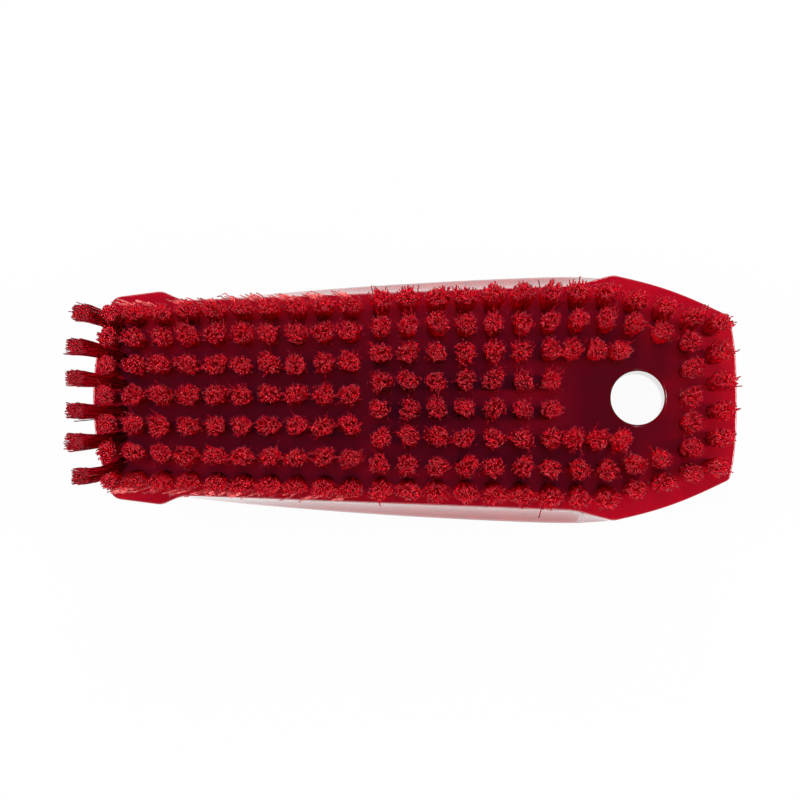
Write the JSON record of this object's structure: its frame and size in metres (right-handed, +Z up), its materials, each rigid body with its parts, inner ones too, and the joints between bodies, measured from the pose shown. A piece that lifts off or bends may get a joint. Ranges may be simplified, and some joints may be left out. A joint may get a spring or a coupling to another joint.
{
  "type": "scrub brush",
  "caption": "Red hand scrub brush with a domed grip back, a winged bristle face, leaning nose tufts and a hanging hole in the heel.",
  "frame": {"origin": "centre of the bounding box in plan, on the plane the crown of the back rests on", "axes": "+X from the nose to the heel with the hanging hole, +Y across the brush, +Z up from the back through the bristles to their tips"},
  "size_m": [0.164, 0.061, 0.052],
  "materials": {
    "block_red": "moulded, glossy",
    "bristle_red": "drawn filament, satin"
  },
  "bodies": {
    "root": {"block": "block_red", "nose_tufts": "bristle_red", "front_row_middle": "bristle_red", "front_row_inner_left": "bristle_red", "front_row_inner_right": "bristle_red", "front_row_outer_left": "bristle_red", "front_row_outer_right": "bristle_red", "front_row_edge_left": "bristle_red", "front_row_edge_right": "bristle_red", "rear_row_inner_left": "bristle_red", "rear_row_inner_right": "bristle_red", "rear_row_middle_left": "bristle_red", "rear_row_middle_right": "bristle_red", "rear_row_outer_left": "bristle_red", "rear_row_outer_right": "bristle_red", "rear_row_edge_left": "bristle_red", "rear_row_edge_right": "bristle_red", "heel_inner_tufts": "bristle_red", "heel_outer_tufts": "bristle_red"}
  },
  "joints": []
}
